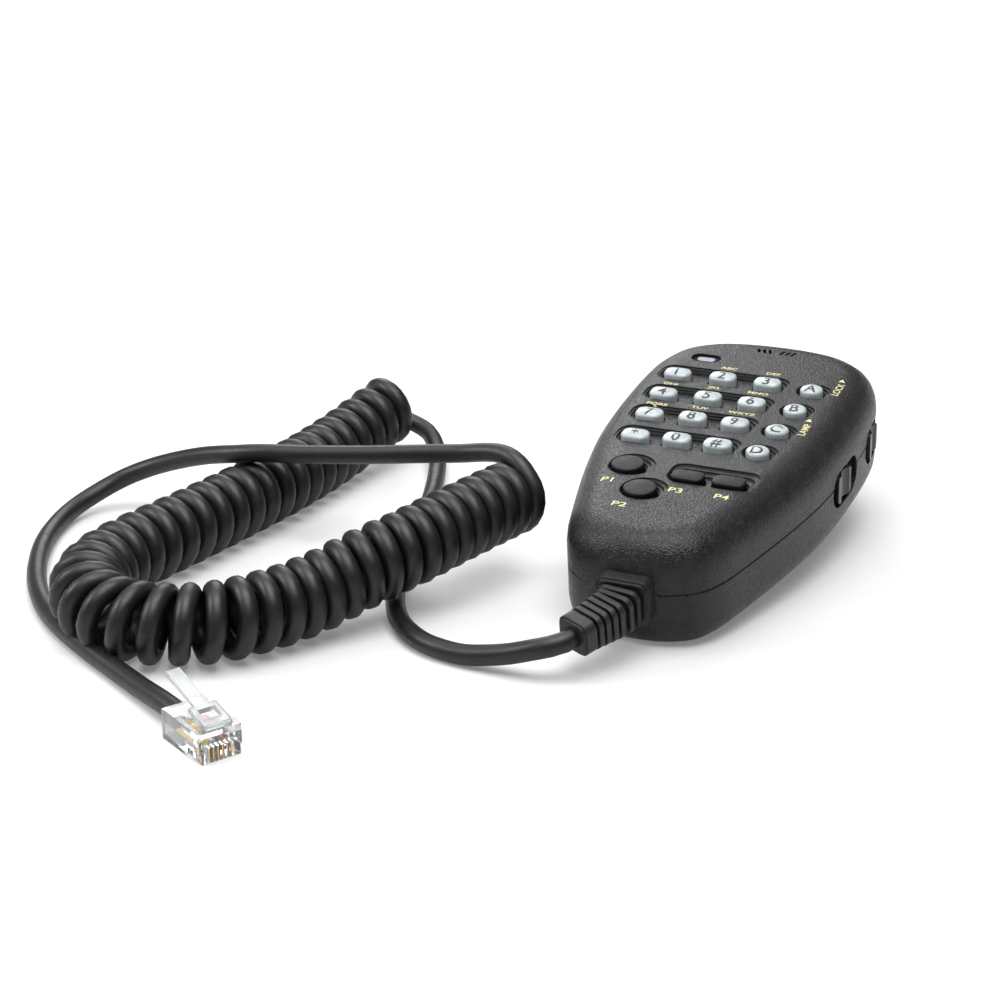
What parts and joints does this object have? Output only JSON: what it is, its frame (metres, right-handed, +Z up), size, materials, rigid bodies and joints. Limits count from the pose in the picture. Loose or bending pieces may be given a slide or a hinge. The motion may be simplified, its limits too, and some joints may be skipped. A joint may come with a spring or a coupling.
{
  "type": "hand microphone",
  "caption": "Palm-sized radio hand microphone with a raised keypad, push-to-talk bar, slide switches, hang-up button, coiled cord and clear modular plug.",
  "frame": {"origin": "middle of the footprint of the microphone without its cord, on the table it lies on", "axes": "+Z up from the table; +Y along the microphone from its cord end to its top end; +X to its right as its keypad is read"},
  "size_m": [0.1893, 0.2036, 0.0392],
  "materials": {
    "case_plastic": "fine leather grain",
    "key_plastic": "milky, translucent, satin",
    "function_key": "satin black",
    "control_plastic": "satin black",
    "boot_rubber": "matte black",
    "keypad_silicone": "matte grey",
    "cord_jacket": "satin black",
    "screw_steel": "zinc plated",
    "plug_plastic": "clear moulded plastic",
    "contact_gold": "gold plated",
    "wire_jackets": "coloured wire insulation",
    "board_laminate": "green solder mask",
    "component_body": "moulded black",
    "socket_plastic": "ivory nylon",
    "led_body": "clear epoxy",
    "window_plastic": "smoked translucent",
    "capsule_metal": "satin can",
    "label_film": "blank silver-grey film"
  },
  "bodies": {
    "microphone": {"front_case": "case_plastic", "back_case": "case_plastic", "keypad_mat": "keypad_silicone", "circuit_board": "board_laminate", "board_parts": "component_body", "encoder_chip": "component_body", "status_led": "led_body", "led_lens": "window_plastic", "mic_capsule": "capsule_metal", "mic_boot": "boot_rubber", "ptt_pin": "screw_steel", "ptt_switch": "component_body", "lock_switch": "component_body", "lamp_switch": "component_body", "up_down_switches": "component_body", "wire_socket": "socket_plastic", "inner_wires": "wire_jackets", "strain_relief": "boot_rubber", "hang_button": "case_plastic", "hang_screw": "screw_steel", "case_screws": "screw_steel", "board_screws": "screw_steel", "rating_label": "label_film", "cord_mic_lead": "cord_jacket", "cord_coil": "cord_jacket", "cord_plug_lead": "cord_jacket", "plug_body": "plug_plastic", "plug_contacts": "contact_gold", "plug_wires": "wire_jackets"},
    "key_1_body": {"key_1": "key_plastic"},
    "key_2_body": {"key_2": "key_plastic"},
    "key_3_body": {"key_3": "key_plastic"},
    "key_4_body": {"key_4": "key_plastic"},
    "key_5_body": {"key_5": "key_plastic"},
    "key_6_body": {"key_6": "key_plastic"},
    "key_7_body": {"key_7": "key_plastic"},
    "key_8_body": {"key_8": "key_plastic"},
    "key_9_body": {"key_9": "key_plastic"},
    "key_star_body": {"key_star": "key_plastic"},
    "key_0_body": {"key_0": "key_plastic"},
    "key_hash_body": {"key_hash": "key_plastic"},
    "key_a_body": {"key_a": "key_plastic"},
    "key_b_body": {"key_b": "key_plastic"},
    "key_c_body": {"key_c": "key_plastic"},
    "key_d_body": {"key_d": "key_plastic"},
    "key_p1_body": {"key_p1": "function_key"},
    "key_p2_body": {"key_p2": "function_key"},
    "key_p3_body": {"key_p3": "function_key"},
    "key_p4_body": {"key_p4": "function_key"},
    "up_button_body": {"up_button": "control_plastic"},
    "down_button_body": {"down_button": "control_plastic"},
    "ptt_lever": {"ptt_bar": "control_plastic"},
    "lock_knob": {"lock_slider": "control_plastic"},
    "lamp_knob": {"lamp_slider": "control_plastic"},
    "latch_tongue": {"plug_latch": "plug_plastic"}
  },
  "joints": [
    {"name": "key_1_press", "type": "slide", "parent": "microphone", "child": "key_1_body", "axis": [0, 0.1219, -0.9925], "range_m": [0, 0.001], "stiffness_N_per_m": 900, "springref_m": -0.0004},
    {"name": "key_2_press", "type": "slide", "parent": "microphone", "child": "key_2_body", "axis": [0, 0.1219, -0.9925], "range_m": [0, 0.001], "stiffness_N_per_m": 900, "springref_m": -0.0004},
    {"name": "key_3_press", "type": "slide", "parent": "microphone", "child": "key_3_body", "axis": [0, 0.1219, -0.9925], "range_m": [0, 0.001], "stiffness_N_per_m": 900, "springref_m": -0.0004},
    {"name": "key_4_press", "type": "slide", "parent": "microphone", "child": "key_4_body", "axis": [0, 0.1219, -0.9925], "range_m": [0, 0.001], "stiffness_N_per_m": 900, "springref_m": -0.0004},
    {"name": "key_5_press", "type": "slide", "parent": "microphone", "child": "key_5_body", "axis": [0, 0.1219, -0.9925], "range_m": [0, 0.001], "stiffness_N_per_m": 900, "springref_m": -0.0004},
    {"name": "key_6_press", "type": "slide", "parent": "microphone", "child": "key_6_body", "axis": [0, 0.1219, -0.9925], "range_m": [0, 0.001], "stiffness_N_per_m": 900, "springref_m": -0.0004},
    {"name": "key_7_press", "type": "slide", "parent": "microphone", "child": "key_7_body", "axis": [0, 0.1219, -0.9925], "range_m": [0, 0.001], "stiffness_N_per_m": 900, "springref_m": -0.0004},
    {"name": "key_8_press", "type": "slide", "parent": "microphone", "child": "key_8_body", "axis": [0, 0.1219, -0.9925], "range_m": [0, 0.001], "stiffness_N_per_m": 900, "springref_m": -0.0004},
    {"name": "key_9_press", "type": "slide", "parent": "microphone", "child": "key_9_body", "axis": [0, 0.1219, -0.9925], "range_m": [0, 0.001], "stiffness_N_per_m": 900, "springref_m": -0.0004},
    {"name": "key_star_press", "type": "slide", "parent": "microphone", "child": "key_star_body", "axis": [0, 0.1219, -0.9925], "range_m": [0, 0.001], "stiffness_N_per_m": 900, "springref_m": -0.0004},
    {"name": "key_0_press", "type": "slide", "parent": "microphone", "child": "key_0_body", "axis": [0, 0.1219, -0.9925], "range_m": [0, 0.001], "stiffness_N_per_m": 900, "springref_m": -0.0004},
    {"name": "key_hash_press", "type": "slide", "parent": "microphone", "child": "key_hash_body", "axis": [0, 0.1219, -0.9925], "range_m": [0, 0.001], "stiffness_N_per_m": 900, "springref_m": -0.0004},
    {"name": "key_a_press", "type": "slide", "parent": "microphone", "child": "key_a_body", "axis": [0, 0.1219, -0.9925], "range_m": [0, 0.001], "stiffness_N_per_m": 900, "springref_m": -0.0004},
    {"name": "key_b_press", "type": "slide", "parent": "microphone", "child": "key_b_body", "axis": [0, 0.1219, -0.9925], "range_m": [0, 0.001], "stiffness_N_per_m": 900, "springref_m": -0.0004},
    {"name": "key_c_press", "type": "slide", "parent": "microphone", "child": "key_c_body", "axis": [0, 0.1219, -0.9925], "range_m": [0, 0.001], "stiffness_N_per_m": 900, "springref_m": -0.0004},
    {"name": "key_d_press", "type": "slide", "parent": "microphone", "child": "key_d_body", "axis": [0, 0.1219, -0.9925], "range_m": [0, 0.001], "stiffness_N_per_m": 900, "springref_m": -0.0004},
    {"name": "key_p1_press", "type": "slide", "parent": "microphone", "child": "key_p1_body", "axis": [0, 0.1219, -0.9925], "range_m": [0, 0.0008], "stiffness_N_per_m": 900, "springref_m": -0.0004},
    {"name": "key_p2_press", "type": "slide", "parent": "microphone", "child": "key_p2_body", "axis": [0, 0.1219, -0.9925], "range_m": [0, 0.0008], "stiffness_N_per_m": 900, "springref_m": -0.0004},
    {"name": "key_p3_press", "type": "slide", "parent": "microphone", "child": "key_p3_body", "axis": [0, 0.1219, -0.9925], "range_m": [0, 0.0008], "stiffness_N_per_m": 900, "springref_m": -0.0004},
    {"name": "key_p4_press", "type": "slide", "parent": "microphone", "child": "key_p4_body", "axis": [0, 0.1219, -0.9925], "range_m": [0, 0.0008], "stiffness_N_per_m": 900, "springref_m": -0.0004},
    {"name": "up_button_press", "type": "slide", "parent": "microphone", "child": "up_button_body", "axis": [0.1564, -0.9803, -0.1204], "range_m": [0, 0.0009], "stiffness_N_per_m": 900, "springref_m": -0.0004},
    {"name": "down_button_press", "type": "slide", "parent": "microphone", "child": "down_button_body", "axis": [-0.1564, -0.9803, -0.1204], "range_m": [0, 0.0009], "stiffness_N_per_m": 900, "springref_m": -0.0004},
    {"name": "ptt_press", "type": "hinge", "parent": "microphone", "child": "ptt_lever", "pos_m": [-0.0239, 0.04695, 0.02364], "axis": [0, -0.1219, 0.9925], "range_deg": [0, 2.5], "stiffness_Nm_per_rad": 1.2, "springref_deg": -1.72},
    {"name": "lock_slide", "type": "slide", "parent": "microphone", "child": "lock_knob", "axis": [-0.0698, 0.9901, 0.1216], "range_m": [0, 0.0036]},
    {"name": "lamp_slide", "type": "slide", "parent": "microphone", "child": "lamp_knob", "axis": [0.0698, 0.9901, 0.1216], "range_m": [0, 0.0036]},
    {"name": "latch_press", "type": "hinge", "parent": "microphone", "child": "latch_tongue", "pos_m": [-0.0547, -0.12978, 0.0072], "axis": [-0.4848, -0.8746, 0], "range_deg": [0, 11], "stiffness_Nm_per_rad": 0.05, "springref_deg": -2.86}
  ]
}
